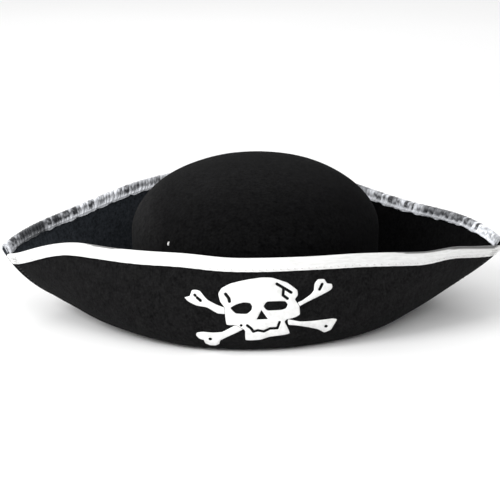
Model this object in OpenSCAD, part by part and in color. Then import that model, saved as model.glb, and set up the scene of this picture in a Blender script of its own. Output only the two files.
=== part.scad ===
// Felt pirate hat: a domed crown inside a front and a back flap, which are sewn
// together along a keel on each side and meet in two tips. A ribbon binds each flap's
// top edge, and a skull and crossbones is printed on the front flap.
// Millimetres, +Z up, front towards -Y, origin at the middle of the base.

/* [Crown] */
// Half width of the crown, side to side
crown_a = 87; // [82:0.5:92]
// Half depth of the crown, front to back
crown_b = 99; // [92:0.5:103]
// Height at which the upright wall turns into the dome
wall_h = 61; // [45:1:70]
// Height of the crown
crown_h = 112; // [100:1:125]
// Thickness of the crown felt and the flap felt
felt = 1.8; // [1.2:0.1:2.4]

/* [Flaps] */
// Distance from the middle to the front flap's left tip
front_left_tip_x = 178; // [168:1:186]
// Distance from the middle to the front flap's right tip
front_right_tip_x = 176; // [168:1:186]
// Distance from the middle to the back flap's left tip
back_left_tip_x = 181; // [168:1:190]
// Distance from the middle to the back flap's right tip
back_right_tip_x = 177; // [168:1:190]
// Distance from the middle to the middle of each flap's top edge
flap_y = 112; // [110:1:118]
// Height of the front flap at its middle
front_h = 64; // [60:0.5:74]
// Height of the back flap at its middle
back_h = 79.5; // [68:0.5:84]
// Height of the front flap at the left tip
front_left_tip_h = 41; // [36:0.5:46]
// Height of the front flap at the right tip
front_right_tip_h = 42; // [36:0.5:46]
// Height of the back flap at the left tip
back_left_tip_h = 47; // [46:0.5:56]
// Height of the back flap at the right tip
back_right_tip_h = 47; // [46:0.5:56]
// Wave in the front flap's edge beside the left tip
front_left_wave = 7; // [-8:0.5:10]
// Wave in the front flap's edge beside the right tip
front_right_wave = -3; // [-8:0.5:10]
// Wave in the back flap's edge beside the left tip
back_left_wave = -7; // [-14:0.5:6]
// Wave in the back flap's edge beside the right tip
back_right_wave = -13; // [-14:0.5:6]

/* [Ribbon] */
// Width of each leg of the front flap's folded ribbon
front_ribbon_w = 7.5; // [6:0.5:10]
// Width of each leg of the back flap's folded ribbon
back_ribbon_w = 6; // [5:0.5:10]
// Thickness of the ribbon
ribbon_t = 0.5; // [0.4:0.1:0.8]

/* [Sweatband] */
// Height of the sweatband
band_h = 30; // [20:1:38]
// Thickness of the sweatband
band_t = 0.8; // [0.6:0.1:1.2]

/* [Label] */
// Width of the care label
label_w = 18; // [12:1:24]
// Length of the care label
label_l = 28; // [20:1:32]

/* [Hidden] */

FRONT = -1;                // side of a flap: its sign along Y
BACK = 1;
gap = 0.2;                 // clearance between pieces that lie on each other
seam_gap = 0.15;           // from the middle plane to each flap's sewn edge
edge_plan = 2.1;           // how blunt the flaps' outline is, seen from above
front_fall = 3;            // how late the front flap's edge falls towards the tips
back_fall = 4;             // the same for the back flap
edge_bunch = 0.1;          // how the profiles gather towards the middle
wave_at = 2;               // moves an edge's wave out towards the tip
back_right_wave_at = 1.4;  // the same for the wave that sits nearest the middle
run_front = 18;            // how far a profile runs out along the base at the middle
run_left = 66;             // the same at the left tip
run_right = 44;            // the same at the right tip
rise_front = 36;           // how far a profile stands straight at the middle
rise_side = 6;             // the same at the front flap's tips
tuck_side = 3;             // how far the keel's end leans out
flap_steps = 48;           // profiles in a flap
profile_steps = 10;        // points along a profile
oval_steps = 96;           // sides of the sweatband's oval
crown_steps = 72;          // sides of the crown
dome_steps = 10;           // rings of the dome
thread_d = 0.7;            // sewing thread as laid
ribbon_end = 0.8;          // degrees from a tip at which the ribbons stop
film = 0.4;                // thickness of the printed film

black_felt = [0.07, 0.07, 0.08];
white_satin = [0.93, 0.93, 0.92];
silver_satin = [0.72, 0.73, 0.76];
black_thread = [0.05, 0.05, 0.05];
white_print = [0.96, 0.96, 0.95];

function mix(a, b, w) = a * (1 - w) + b * w;
function unit(v) = v / norm(v);

// ---- The crown's oval and the flaps' surface -------------------------------------

// A point on the crown's oval, moved in by d. The angle runs from the right side (0)
// over the middle of the flap (90) to the left side (180).
function oval(angle, side, d = 0) =
    [(crown_a - d) * cos(angle), side * (crown_b - d) * sin(angle), 0];

// The oval's outward direction.
function oval_out(angle, side) =
    unit([cos(angle) / crown_a, side * sin(angle) / crown_b, 0]);

// How far along the flap's top edge a profile ends: 0 at the middle, 1 at a tip.
function edge_share(angle) =
    let (s = abs(angle - 90) / 90) s - edge_bunch * s * (1 - s);

function tip_x(angle, side) = side == FRONT
    ? (angle < 90 ? front_right_tip_x : front_left_tip_x)
    : (angle < 90 ? back_right_tip_x : back_left_tip_x);

function tip_h(angle, side) = side == FRONT
    ? (angle < 90 ? front_right_tip_h : front_left_tip_h)
    : (angle < 90 ? back_right_tip_h : back_left_tip_h);

// The wave's part of the top edge's height, at a share q of the way to the tip.
function wave(angle, side, q) =
    let (right = angle < 90,
         height = side == FRONT
             ? (right ? front_right_wave : front_left_wave)
             : (right ? back_right_wave : back_left_wave),
         at = side == BACK && right ? back_right_wave_at : wave_at)
    height * pow(sin(180 * pow(q, at)), 2);

// The front flap's edge rises a little in two places: at x, by a height, over a half width.
front_rises = [[138, 2.6, 17], [-55, 2.1, 28]];

function rise_part(x, part) = part[1] * exp(-pow((x - part[0]) / part[2], 2));

// The point of a flap's top edge where a profile ends.
function edge_point(angle, side) =
    let (q = edge_share(angle),
         middle_h = side == FRONT ? front_h : back_h,
         fall = side == FRONT ? front_fall : back_fall,
         x = sign(90 - angle) * tip_x(angle, side) * q,
         rises = side == FRONT
             ? rise_part(x, front_rises[0]) + rise_part(x, front_rises[1])
             : 0)
    [x, side * flap_y * (1 - pow(q, edge_plan)),
     mix(middle_h, tip_h(angle, side), pow(q, fall)) + wave(angle, side, q) + rises];

// The four control points of a profile, from the crown's base to the top edge. The two
// flaps' profiles meet along the keel, up to where the lower of them ends.
function profile_controls(angle, side) =
    let (w = pow(cos(angle), 2),
         base = oval(angle, side),
         out = oval_out(angle, side),
         top = edge_point(angle, side),
         run_side = angle < 90 ? run_right : run_left,
         tuck_tip = tuck_side + tip_x(angle, side) - tip_x(angle, FRONT),
         rise_tip = rise_side + tip_h(angle, side) - tip_h(angle, FRONT))
    [base,
     base + out * mix(run_front, run_side, w),
     top - out * tuck_tip * w - [0, 0, mix(rise_front, rise_tip, w)],
     top];

function bezier(p, t) =
    pow(1 - t, 3) * p[0] + 3 * pow(1 - t, 2) * t * p[1]
        + 3 * (1 - t) * t * t * p[2] + pow(t, 3) * p[3];

function bezier_slope(p, t) =
    pow(1 - t, 2) * (p[1] - p[0]) + 2 * (1 - t) * t * (p[2] - p[1])
        + t * t * (p[3] - p[2]);

function flap_point(angle, side, t) = bezier(profile_controls(angle, side), t);

// The direction across the felt, from its outer face to the inside of the hat.
function flap_in(angle, side, t) =
    let (step = 0.2,
         across = flap_point(min(angle + step, 180), side, t)
             - flap_point(max(angle - step, 0), side, t),
         along = bezier_slope(profile_controls(angle, side), t))
    -side * unit(cross(across, along));

// Keeps a point on its own flap's side of the sewn keel.
function own_side(p, side, d = seam_gap) = [p[0], side * max(side * p[1], d), p[2]];

// A point at depth d in the felt: 0 on the outer face, felt on the inner face.
function felt_point(angle, side, t, d) =
    own_side(flap_point(angle, side, t) + d * flap_in(angle, side, t), side);

// ---- Solids from rings of points -------------------------------------------------

// A solid skinned over closed rings of equal length, with a flat cap at each end.
module skin(rings) {
    n = len(rings[0]);
    last = len(rings) - 1;
    points = [for (ring = rings) each ring];
    walls = [for (i = [0 : last - 1], j = [0 : n - 1])
        let (k = (j + 1) % n, a = i * n, b = a + n)
        each [[a + j, b + j, b + k], [a + j, b + k, a + k]]];
    caps = [[for (j = [0 : n - 1]) j], [for (j = [n - 1 : -1 : 0]) last * n + j]];
    polyhedron(points, concat(walls, caps), convexity = 6);
}

// A round thread from p to q.
module thread(p, q, d = thread_d) {
    v = q - p;
    translate(p)
        rotate([0, acos(v[2] / norm(v)), atan2(v[1], v[0])])
            cylinder(h = norm(v), d = d, $fn = 16);
}

// ---- Crown -----------------------------------------------------------------------

crown_foot = felt + gap;   // the crown stands on the flaps' base

// One of the crown's rings, moved in by d and drawn in to a share of the full oval.
function crown_ring(height, share, d) =
    [for (i = [0 : crown_steps - 1])
        let (p = oval(360 * i / crown_steps, 1, d))
        [share * p[0], share * p[1], height]];

// The rings of the crown's outer or inner face, from its foot to near its top.
function crown_rings(d) = concat(
    [crown_ring(crown_foot, 1, d)],
    [for (i = [0 : dome_steps])
        let (a = 88 * i / dome_steps)
        crown_ring(wall_h + (crown_h - wall_h - d) * sin(a), cos(a), d)]);

module crown() {
    outer = crown_rings(0);
    inner = crown_rings(felt);
    n = crown_steps;
    top = len(outer) - 1;
    first = len(outer) * n;
    walls = [for (i = [0 : top - 1], j = [0 : n - 1])
        let (k = (j + 1) % n, a = i * n, b = a + n)
        each [[a + j, b + j, b + k, a + k],
            [first + a + k, first + b + k, first + b + j, first + a + j]]];
    foot = [for (j = [0 : n - 1])
        let (k = (j + 1) % n)
        [j, k, first + k, first + j]];
    caps = [[for (j = [n - 1 : -1 : 0]) top * n + j],
        [for (j = [0 : n - 1]) first + top * n + j]];
    color(black_felt)
        polyhedron([for (ring = concat(outer, inner)) each ring],
            concat(walls, foot, caps), convexity = 6);
}

// ---- Flaps -----------------------------------------------------------------------

// The closed outline of a flap's felt at one angle. It starts and ends under the
// crown's wall, where the flap is sewn to the crown.
function flap_ring(angle, side) =
    let (foot = own_side(oval(angle, side, felt), side))
    concat([foot],
        [for (i = [0 : profile_steps]) felt_point(angle, side, i / profile_steps, 0)],
        [for (i = [profile_steps : -1 : 0]) felt_point(angle, side, i / profile_steps, felt)],
        [foot + [0, 0, felt]]);

module flap(side) {
    angles = [for (i = [0 : flap_steps]) 180 * i / flap_steps];
    color(black_felt)
        skin([for (a = side == FRONT ? angles : [for (b = angles) 180 - b])
            flap_ring(a, side)]);
}

// ---- Ribbons ---------------------------------------------------------------------

function ribbon_w(side) = side == FRONT ? front_ribbon_w : back_ribbon_w;

// The profile's position a length down from the top edge, found by stepping towards it.
function down_from_edge(angle, side, length, t = 0.9, steps = 5) =
    steps == 0 ? t
    : let (p = profile_controls(angle, side),
           missing = length - norm(p[3] - bezier(p, t)),
           nearer = t - missing / (3 * norm(bezier_slope(p, t))))
      down_from_edge(angle, side, length, nearer, steps - 1);

// The ribbon's ring at one angle: up the outer leg, over the edge, down the inner leg,
// and back along the ribbon's other face.
function ribbon_ring(angle, side) =
    let (leg_steps = 2, fold_steps = 4,
         low = down_from_edge(angle, side, ribbon_w(side)),
         across = flap_in(angle, side, 1),
         up = unit(bezier_slope(profile_controls(angle, side), 1)),
         middle = flap_point(angle, side, 1) + across * felt / 2,
         leg = function (d, i) let (t = mix(low, 1, i / leg_steps))
             flap_point(angle, side, t) + d * flap_in(angle, side, t),
         fold = function (r, i) let (a = 180 * i / fold_steps)
             middle + r * (sin(a) * up - cos(a) * across),
         near = gap, far = gap + ribbon_t)
    concat(
        [for (i = [0 : leg_steps - 1]) leg(-far, i)],
        [for (i = [0 : fold_steps]) fold(felt / 2 + far, i)],
        [for (i = [leg_steps - 1 : -1 : 0]) leg(felt + far, i)],
        [for (i = [0 : leg_steps - 1]) leg(felt + near, i)],
        [for (i = [fold_steps : -1 : 0]) fold(felt / 2 + near, i)],
        [for (i = [leg_steps - 1 : -1 : 0]) leg(-near, i)]);

module ribbon(side, tint) {
    angles = [for (i = [0 : flap_steps])
        mix(ribbon_end, 180 - ribbon_end, i / flap_steps)];
    color(tint)
        skin([for (a = side == FRONT ? angles : [for (b = angles) 180 - b])
            ribbon_ring(a, side)]);
}

// Running stitches near the lower edge of the ribbon's outer and inner legs.
module ribbon_stitches(side) {
    count = 66;
    end = 5;
    inset = 1.5;
    lift = gap + ribbon_t + thread_d / 2 + 0.2;
    function on_ribbon(a, d) =
        let (t = down_from_edge(a, side, ribbon_w(side) - inset))
        flap_point(a, side, t) + d * flap_in(a, side, t);
    color(white_satin)
        for (i = [0 : count - 1], d = [-lift, felt + lift])
            thread(on_ribbon(mix(end, 180 - end, i / count), d),
                on_ribbon(mix(end, 180 - end, (i + 0.6) / count), d));
}

// Short bars that hold the two ribbons' ends together at a tip, one in front and one
// behind for each stitch.
module tip_tack(angle) {
    count = 3;
    pitch = 1.9;
    drop = 1.2;
    near = 1.4;            // degrees from the tip at which a bar starts
    far = 3.6;             // and ends
    lift = gap + ribbon_t + thread_d / 2 + 0.2;
    function on_ribbon(a, side, drop) =
        let (t = down_from_edge(a, side, drop))
        flap_point(a, side, t) - lift * flap_in(a, side, t);
    color(white_satin)
        for (i = [0 : count - 1], side = [FRONT, BACK])
            thread(on_ribbon(abs(angle - near), side, drop + i * pitch),
                on_ribbon(abs(angle - far), side, drop + i * pitch));
}

// ---- Seams in the felt -----------------------------------------------------------

// Slanted stitches in the corner between the crown and the flaps.
module headline_seam() {
    count = 96;
    slant = 1.2;
    low = felt + thread_d / 2 + 0.25;
    high = low + 2.4;
    color(black_thread)
        for (i = [0 : count - 1]) {
            a = 360 * (i + 0.5) / count;
            b = a + slant;
            out = oval_out(a, 1) * (thread_d / 2 + 0.1);
            thread(oval(a, 1) + 3 * out + [0, 0, low], oval(b, 1) + out + [0, 0, high]);
        }
}

// Slanted stitches along the keel, on each side of the seam that joins the flaps.
module side_seam(angle) {
    count = 18;
    near = 0.4;            // degrees from the keel at which a stitch starts
    far = 2.4;             // and ends
    first = 0.17;
    last = down_from_edge(angle, FRONT, front_ribbon_w + 2.5);
    slant = 0.012;
    lift = thread_d / 2 + 0.1;
    color(black_thread)
        for (i = [0 : count - 1], side = [FRONT, BACK]) {
            t = mix(first, last, i / (count - 1));
            a = abs(angle - near);
            b = abs(angle - far);
            thread(flap_point(a, side, t) - lift * flap_in(a, side, t),
                flap_point(b, side, t + slant) - lift * flap_in(b, side, t + slant));
        }
}

// ---- Sweatband -------------------------------------------------------------------

band_out = felt + gap + 0.1;                 // from the crown's outer face to the band

// The crown's oval, moved in by d, as an outline.
module oval_2d(d) {
    polygon([for (i = [0 : oval_steps - 1])
        let (p = oval(360 * i / oval_steps, 1, d))
        [p[0], p[1]]]);
}

// An upright wall that follows the crown's oval, moved in by d.
module oval_wall(d, thickness, height) {
    linear_extrude(height)
        difference() {
            oval_2d(d);
            oval_2d(d + thickness);
        }
}

module sweatband() {
    color(black_felt) oval_wall(band_out, band_t, band_h);
}

// A short tape that covers the sweatband's join at the back of the head.
module sweatband_join() {
    tape_w = 16;
    tape_t = 0.5;
    foot = 1;
    color(black_felt)
        translate([0, 0, foot])
            intersection() {
                oval_wall(band_out + band_t + gap, tape_t, band_h - foot);
                translate([-tape_w / 2, 0, -1]) cube([tape_w, crown_b, band_h]);
            }
}

// A row of stitches through the sweatband and the crown, which shows on both faces.
module sweatband_stitches() {
    count = 100;
    height = 6;
    inside = band_out + band_t + thread_d / 2 + 0.1;
    outside = -thread_d / 2 - 0.1;
    join_half = 9;         // degrees to each side that the join tape covers
    color(black_thread)
        for (i = [0 : count - 1], d = [outside, inside]) {
            a = 360 * i / count;
            b = 360 * (i + 0.6) / count;
            if (d == outside || abs(a - 90) > join_half)
                thread(oval(a, 1, d) + [0, 0, height], oval(b, 1, d) + [0, 0, height]);
        }
}

// ---- Care label ------------------------------------------------------------------

label_angle = 133;         // where the label hangs, round the front of the crown
label_top = 66;            // height of its pivot
label_t = 0.5;
label_off = 4;             // from the upright wall's inner face to the label's middle
pivot_d = 0.8;             // the thread bar on which the label swings
hem_bore = 0.96;           // the label's rolled hem, around the bar
hem_d = 2;
bar_l = label_w + 4;

// Places its children with +X along the crown's wall, +Y out through the wall, and the
// label's pivot at the origin.
module at_label() {
    out = oval_out(label_angle, FRONT);
    wall = oval(label_angle, FRONT, felt + label_off);
    translate([wall[0], wall[1], label_top])
        rotate([0, 0, atan2(out[1], out[0]) - 90])
            children();
}

module across_label(length, d) {
    translate([-length / 2, 0, 0])
        rotate([0, 90, 0])
            cylinder(h = length, d = d, $fn = 32);
}

module care_label() {
    color(white_satin)
        at_label()
            difference() {
                union() {
                    across_label(label_w, hem_d);
                    translate([-label_w / 2, -label_t / 2, -label_l])
                        cube([label_w, label_t, label_l]);
                }
                across_label(label_w + 2, hem_bore);
            }
}

// The thread that carries the label: a bar through its hem, a leg to the felt at each
// end, and the stitch that shows on the crown's outer face.
module label_tack() {
    leg_l = 2.5;
    leg_d = 0.6;
    knot_l = 2.4;
    knot_d = 1;
    knot_out = 5.8;        // from the pivot to the middle of the stitch outside
    knot_up = 1;
    knot_lean = 12;        // the dome leans in at this height
    color(white_satin)
        at_label() {
            across_label(bar_l, pivot_d);
            for (side = [-1, 1])
                translate([side * (bar_l / 2 - 0.5), 0, 0])
                    rotate([-90, 0, 0])
                        cylinder(h = leg_l, d = leg_d, $fn = 24);
            translate([0, knot_out, knot_up])
                rotate([knot_lean, 0, 0])
                    translate([0, 0, -knot_l / 2])
                        cylinder(h = knot_l, d = knot_d, $fn = 24);
        }
}

// ---- Print -----------------------------------------------------------------------

// Points of the print are [x, z], as the front flap is seen from the front.

skull_clear = 0.3;         // between the skull and the bones behind it
crack_r = 1;               // half width of a drawn crack
mouth_r = 0.95;            // and of the mouth's line

// A closed curve through the points p, drawn tight so that it keeps their corners.
function smooth(p, steps = 3) =
    let (n = len(p), pull = 0.25)
    [for (i = [0 : n - 1], j = [0 : steps - 1])
        let (t = j / steps,
             b = p[i], c = p[(i + 1) % n],
             leave = pull * (c - p[(i + n - 1) % n]),
             arrive = pull * (p[(i + 2) % n] - b))
        b + leave * t + (3 * (c - b) - 2 * leave - arrive) * t * t
            + (2 * (b - c) + leave + arrive) * t * t * t];

// A line drawn through points with a round pen.
module stroke(p, r) {
    for (i = [0 : len(p) - 2])
        hull() {
            translate(p[i]) circle(r, $fn = 16);
            translate(p[i + 1]) circle(r, $fn = 16);
        }
}

skull_edge = [[-22.5, 45.5], [-17, 48.5], [-10.5, 50.3], [-4, 51.6], [4, 52.6], [11, 52.2],
    [21, 48.3], [27.3, 43], [27.8, 39.5], [26, 36.5], [28.7, 32], [29, 26], [25, 24],
    [20.3, 23.2], [19, 21.3], [22, 13], [9, 11.5], [2.5, 9.6], [-7, 9.6], [-7.6, 16.5],
    [-13.5, 20], [-19.5, 20.5], [-20.5, 26.5], [-20.7, 32], [-23.5, 36], [-24.8, 41.5]];
left_eye = [[-16.9, 32], [-13.3, 34.4], [-8.4, 35.9], [-4, 35.5], [-2.6, 33.1], [-3.2, 30.4],
    [-6.2, 28.1], [-13.3, 28.3]];
right_eye = [[5.1, 33], [7.7, 36.2], [18.9, 35.9], [21, 33.5], [19.9, 30.9], [16.8, 30],
    [7.7, 30.1]];
nose = [[3.5, 30.6], [7.9, 24.1], [0.2, 24.1]];
mouth = [[-6, 20], [-3.5, 18], [-2, 15.6], [1, 16.4], [5, 15.5], [9, 17.4], [14, 17.4],
    [15.5, 21.5]];
tooth_gap = [-10, 20];
crack = [[14, 48], [18.5, 45], [23.5, 41.5]];
crack_branch = [[18.5, 45], [18, 40], [21, 37.5]];
temple_dent = [[-20, 41.5], [-17.8, 38.5], [-17.5, 36.5]];

module skull_outline() {
    polygon(smooth(skull_edge));
}

module skull_2d() {
    difference() {
        skull_outline();
        polygon(smooth(left_eye));
        polygon(smooth(right_eye));
        polygon(nose);
        stroke(mouth, mouth_r);
        stroke(crack, crack_r);
        stroke(crack_branch, crack_r);
        stroke(temple_dent, 1.1);
        translate(tooth_gap) circle(mouth_r, $fn = 16);
    }
}

// A bone end drawn with a round pen, less the marks drawn in it.
module bone_2d(edge, marks) {
    pen_r = 0.3;
    difference() {
        union() {
            polygon(edge);
            stroke(concat(edge, [edge[0]]), pen_r);
        }
        for (mark = marks) stroke(mark, 1.05);
    }
}

// A thin film on the front flap's outer face, with the outline of its children, which
// are drawn as seen from the front.
module film_on_front() {
    angles = [for (i = [0 : 30]) mix(50, 126, i / 30)];
    ts = [for (i = [0 : 12]) mix(0.15, 0.98, i / 12)];
    intersection() {
        skin([for (a = angles) concat(
            [for (t = ts) flap_point(a, FRONT, t) - (gap + film) * flap_in(a, FRONT, t)],
            [for (i = [len(ts) - 1 : -1 : 0])
                flap_point(a, FRONT, ts[i]) - gap * flap_in(a, FRONT, ts[i])])]);
        rotate([90, 0, 0]) linear_extrude(flap_y + 20) children();
    }
}

module skull_print() {
    color(white_print) film_on_front() skull_2d();
}

module bone_print(edge, marks) {
    color(white_print)
        film_on_front()
            difference() {
                bone_2d(edge, marks);
                offset(delta = skull_clear) skull_outline();
            }
}

module upper_left_bone_print() {
    bone_print([[-42.5, 43], [-40, 43.6], [-37, 42.8], [-32.5, 37.5], [-26, 34], [-18, 31],
            [-18, 28], [-25.5, 28.2], [-32.5, 32], [-39.5, 33], [-45, 35.5], [-47.3, 38],
            [-44, 39.2]],
        [[[-40.5, 40], [-40.3, 39.8]], [[-39, 38.3], [-36.8, 36.5]]]);
}

module upper_right_bone_print() {
    bone_print([[26, 33.3], [31.5, 35.9], [36.5, 39.3], [38.6, 42], [39.2, 46.5],
            [41.5, 49.2], [45.5, 49], [47.5, 46], [50.5, 45.2], [51, 43], [49.5, 41],
            [41.5, 37.4], [33.5, 34], [26, 30.4]],
        [[[42.5, 42.3], [44.2, 45.7]]]);
}

module lower_left_bone_print() {
    bone_print([[-7, 19], [-11, 16], [-20.5, 11], [-24, 8.8], [-25, 6], [-27.3, 4.6],
            [-31, 4.6], [-34, 6], [-35.2, 8.5], [-38, 9.6], [-40.2, 12], [-39.5, 14],
            [-35.5, 14.7], [-29, 14.4], [-23, 15], [-17.5, 18], [-12, 21]],
        [[[-31, 9.6], [-30.6, 9.6]]]);
}

module lower_right_bone_print() {
    bone_print([[21.4, 23], [29, 21], [37, 20.6], [51, 20.7], [54, 19.6], [52, 16],
            [50, 12.6], [45.5, 11.2], [41.5, 14], [34.5, 16.5], [27, 18.4], [21.6, 19.4]],
        [[[46.5, 15.7], [46.9, 15.5]]]);
}

// ---- Assembly --------------------------------------------------------------------

crown();
flap(FRONT);  // front_flap
flap(BACK);  // back_flap
ribbon(FRONT, white_satin);  // front_ribbon
ribbon(BACK, silver_satin);  // back_ribbon
ribbon_stitches(FRONT);  // front_ribbon_stitches
ribbon_stitches(BACK);  // back_ribbon_stitches
headline_seam();
side_seam(180);  // left_side_seam
side_seam(0);  // right_side_seam
tip_tack(180);  // left_tip_tack
tip_tack(0);  // right_tip_tack
sweatband();
sweatband_join();
sweatband_stitches();
care_label();
label_tack();
skull_print();
upper_left_bone_print();
upper_right_bone_print();
lower_left_bone_print();
lower_right_bone_print();
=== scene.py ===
"""Felt pirate hat: detailed cloth, ribbon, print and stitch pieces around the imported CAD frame."""
import math

import bpy
import numpy as np
from mathutils import Matrix, Vector
from mathutils.bvhtree import BVHTree
from mathutils.geometry import delaunay_2d_cdt


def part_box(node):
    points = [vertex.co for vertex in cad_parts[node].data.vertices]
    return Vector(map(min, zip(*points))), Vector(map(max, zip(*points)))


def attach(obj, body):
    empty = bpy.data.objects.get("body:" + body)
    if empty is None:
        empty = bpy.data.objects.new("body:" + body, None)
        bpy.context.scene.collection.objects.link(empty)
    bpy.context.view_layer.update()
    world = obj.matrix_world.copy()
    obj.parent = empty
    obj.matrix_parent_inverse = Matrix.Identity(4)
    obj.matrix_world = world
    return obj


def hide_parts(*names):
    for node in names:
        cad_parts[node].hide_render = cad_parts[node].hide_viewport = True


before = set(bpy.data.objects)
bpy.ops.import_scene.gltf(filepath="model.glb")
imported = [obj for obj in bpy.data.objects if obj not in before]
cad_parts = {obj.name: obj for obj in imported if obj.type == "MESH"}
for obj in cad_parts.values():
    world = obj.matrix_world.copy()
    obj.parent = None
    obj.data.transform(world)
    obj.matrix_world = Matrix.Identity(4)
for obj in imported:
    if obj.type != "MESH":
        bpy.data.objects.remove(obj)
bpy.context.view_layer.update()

# ---- Camera ------------------------------------------------------------------------

CAMERA_ELEVATION = math.radians(15.5)
CAMERA_DISTANCE = 1.5
CAMERA_ROLL = math.radians(-0.8)
VIEW_WIDTH = 0.36          # metres across the picture at the hat's middle
ORIGIN_RIGHT = 0.0104      # where the frame's origin falls, as a share of the picture
ORIGIN_DOWN = 0.1178       # from its middle


def make_camera():
    data = bpy.data.cameras.new("camera")
    data.sensor_width = 36
    data.lens = data.sensor_width * CAMERA_DISTANCE / VIEW_WIDTH
    camera = bpy.data.objects.new("camera", data)
    bpy.context.collection.objects.link(camera)
    back = Vector((0, -math.cos(CAMERA_ELEVATION), math.sin(CAMERA_ELEVATION)))
    looking = (-back).to_track_quat("-Z", "Y")
    turn = Matrix.Rotation(CAMERA_ROLL, 4, "Z")
    # Turning the camera by these angles moves the origin off the picture's middle.
    aim = (Matrix.Rotation(ORIGIN_DOWN * VIEW_WIDTH / CAMERA_DISTANCE, 4, "X")
           @ Matrix.Rotation(ORIGIN_RIGHT * VIEW_WIDTH / CAMERA_DISTANCE, 4, "Y"))
    camera.matrix_world = (Matrix.Translation(back * CAMERA_DISTANCE)
                           @ looking.to_matrix().to_4x4() @ aim @ turn)
    bpy.context.scene.camera = camera


make_camera()

# ---- Dimensions, in millimetres ----------------------------------------------------

MM = 0.001


def size_mm(node, axis, end=1):
    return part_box(node)[end][axis] / MM


CROWN_A = size_mm("crown", 0)
CROWN_B = size_mm("crown", 1)
CROWN_H = 112.0
WALL_H = 61.0
FELT = 1.8
GAP = 0.2
CROWN_FOOT = FELT + GAP
FLAP_Y = 112.0
FRONT, BACK = -1, 1
# The flaps' edges. A pair holds the right side's value and the left side's.
TIP_X = {side: (size_mm(node, 0), -size_mm(node, 0, 0))
         for side, node in ((FRONT, "front_flap"), (BACK, "back_flap"))}
MIDDLE_H = {FRONT: 64.0, BACK: 79.5}
TIP_H = {FRONT: (42.0, 41.0), BACK: (47.0, 47.0)}
WAVES = {FRONT: (-3.0, 7.0), BACK: (-13.0, -7.0)}
WAVE_AT = {FRONT: (2.0, 2.0), BACK: (1.4, 2.0)}
EDGE_FALL = {FRONT: 3.0, BACK: 4.0}
EDGE_PLAN, EDGE_BUNCH = 2.1, 0.1
FRONT_RISES = ((138, 2.6, 17), (-55, 2.1, 28))     # across, height, half width
RUN_FRONT, RUN_SIDE = 18.0, (44.0, 66.0)
RISE_FRONT, RISE_SIDE = 36.0, 6.0
TUCK_SIDE = 3.0
SEAM_GAP = 0.15
RIBBON_W, RIBBON_T = {FRONT: 7.5, BACK: 6.0}, 0.5
RIBBON_END = math.radians(0.15)
THREAD_D = 0.7
BAND_OUT, BAND_T, BAND_H = FELT + GAP + 0.1, 0.8, 30.0
HALF_TURN = math.pi
FELT_STRAY = 0.55          # how strongly the soft felt strays from its pattern
KEEL_CREASE, CREASE_SINE = 0.9, 0.035      # the felt's dent at the keels, and its width
THREAD_TAPER = 0.35        # how much a stitch narrows towards its ends
FOLD_REACH = 1.4           # about what the fold over the edge adds to a ribbon's leg


def mix(a, b, w):
    return a * (1 - w) + b * w


def unit(v):
    return v / np.maximum(np.linalg.norm(v, axis=-1, keepdims=True), 1e-9)


def smoothstep(x):
    x = np.clip(x, 0, 1)
    return x * x * (3 - 2 * x)


def bell(x, at, width):
    """A smooth bump, 1 high at its middle."""
    return np.exp(-((x - at) / width) ** 2)


# ---- The hat's surfaces ------------------------------------------------------------
# The angle runs from the right side (0) over the middle of a flap to the left (pi).


def oval(angle, side=1, inward=0.0):
    return np.stack([(CROWN_A - inward) * np.cos(angle),
                     side * (CROWN_B - inward) * np.sin(angle),
                     np.zeros_like(angle)], -1)


def oval_out(angle, side=1):
    return unit(np.stack([np.cos(angle) / CROWN_A, side * np.sin(angle) / CROWN_B,
                          np.zeros_like(angle)], -1))


def by_side(angle, pair):
    return np.where(angle < HALF_TURN / 2, *pair)


def edge_point(angle, side):
    s = np.abs(angle - HALF_TURN / 2) / (HALF_TURN / 2)
    q = s - EDGE_BUNCH * s * (1 - s)
    wave = by_side(angle, WAVES[side]) * np.sin(math.pi * q ** by_side(angle, WAVE_AT[side])) ** 2
    height = mix(MIDDLE_H[side], by_side(angle, TIP_H[side]), q ** EDGE_FALL[side])
    x = np.sign(HALF_TURN / 2 - angle) * by_side(angle, TIP_X[side]) * q
    if side == FRONT:
        height = height + sum(h * bell(x, at, half) for at, h, half in FRONT_RISES)
    return np.stack([x, side * FLAP_Y * (1 - q ** EDGE_PLAN), height + wave], -1)


def profile_controls(angle, side):
    w = (np.cos(angle) ** 2)[..., None]
    base, out, top = oval(angle, side), oval_out(angle, side), edge_point(angle, side)
    run_side = by_side(angle, RUN_SIDE)[..., None]
    tuck_tip = TUCK_SIDE + (by_side(angle, TIP_X[side]) - by_side(angle, TIP_X[FRONT]))[..., None]
    rise_tip = RISE_SIDE + (by_side(angle, TIP_H[side]) - by_side(angle, TIP_H[FRONT]))[..., None]
    rise = mix(RISE_FRONT, rise_tip, w) * np.array([0, 0, 1.0])
    return (base, base + out * mix(RUN_FRONT, run_side, w),
            top - out * tuck_tip * w - rise, top)


def plain_flap(angle, side, t):
    a, b, c, d = profile_controls(angle, side)
    t = np.asarray(t)[..., None]
    return (1 - t) ** 3 * a + 3 * (1 - t) ** 2 * t * b + 3 * (1 - t) * t * t * c + t ** 3 * d


def profile_slope(angle, side, t):
    a, b, c, d = profile_controls(angle, side)
    t = np.asarray(t)[..., None]
    return (1 - t) ** 2 * (b - a) + 2 * (1 - t) * t * (c - b) + t * t * (d - c)


def flap_in(angle, side, t):
    """The direction across the felt, from its outer face to the inside of the hat."""
    step = math.radians(0.2)
    across = (plain_flap(np.minimum(angle + step, HALF_TURN), side, t)
              - plain_flap(np.maximum(angle - step, 0), side, t))
    return -side * unit(np.cross(across, profile_slope(angle, side, t)))


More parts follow.
